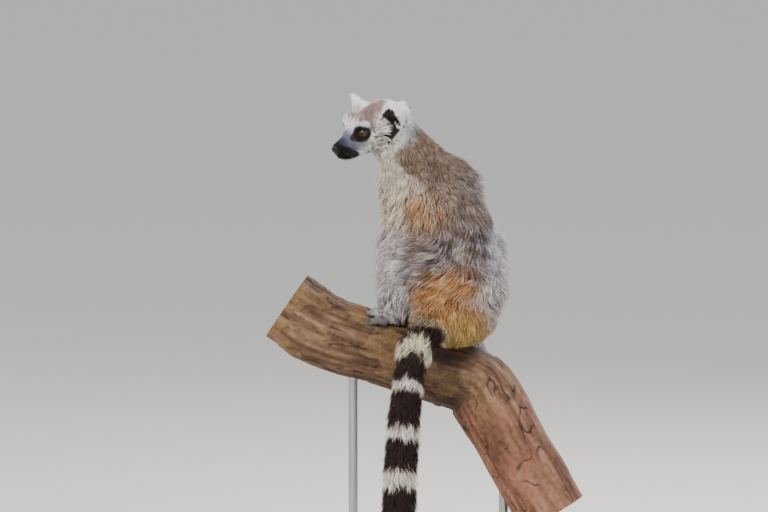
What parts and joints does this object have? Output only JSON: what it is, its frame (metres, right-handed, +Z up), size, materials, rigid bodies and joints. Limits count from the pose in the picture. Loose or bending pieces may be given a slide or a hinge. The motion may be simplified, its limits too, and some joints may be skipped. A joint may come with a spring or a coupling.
{
  "type": "ring-tailed lemur",
  "caption": "Life-size still model of an adult ring-tailed lemur sitting on a cut branch, back to the viewer, head turned left, tail hanging, held on a plain rod stand.",
  "frame": {"origin": "centre of the underside of the stand's flat base", "axes": "+Z up, +Y the way the body faces, +X the animal's right side; the head is turned to -X and a little to -Y"},
  "size_m": [0.3727, 0.28, 0.8318],
  "materials": {
    "coat_white": "soft short white fur with dark flecks, black patches round the eyes and a black muzzle",
    "coat_brown_grey": "dense brown-grey fur",
    "coat_grey": "dense woolly grey-brown fur, rufous over the rump",
    "coat_pale_grey": "short pale grey fur",
    "coat_tail": "long tail fur in dark and white rings",
    "skin_grey": "short pale fur over dark leathery skin and nails",
    "eye": "moist clear cornea over an amber-brown iris and a black pupil",
    "bark": "weathered brown bark with cracks and flakes, sawn at both ends",
    "stand_wood": "satin black stained board",
    "stand_steel": "brushed"
  },
  "bodies": {
    "root": {"head": "coat_white", "ear_left": "coat_white", "ear_right": "coat_white", "eye_left": "eye", "eye_right": "eye", "neck": "coat_brown_grey", "trunk": "coat_grey", "upper_arm_left": "coat_grey", "upper_arm_right": "coat_grey", "forearm_left": "coat_pale_grey", "forearm_right": "coat_pale_grey", "hand_left": "skin_grey", "hand_right": "skin_grey", "thigh_left": "coat_pale_grey", "thigh_right": "coat_pale_grey", "shin_left": "coat_pale_grey", "shin_right": "coat_pale_grey", "foot_left": "coat_pale_grey", "foot_right": "coat_pale_grey", "tail_1": "coat_tail", "tail_2": "coat_tail", "tail_3": "coat_tail", "tail_4": "coat_tail", "tail_5": "coat_tail", "perch_branch": "bark", "stand_base": "stand_wood", "stand_rod_1": "stand_steel", "stand_rod_2": "stand_steel"}
  },
  "joints": []
}
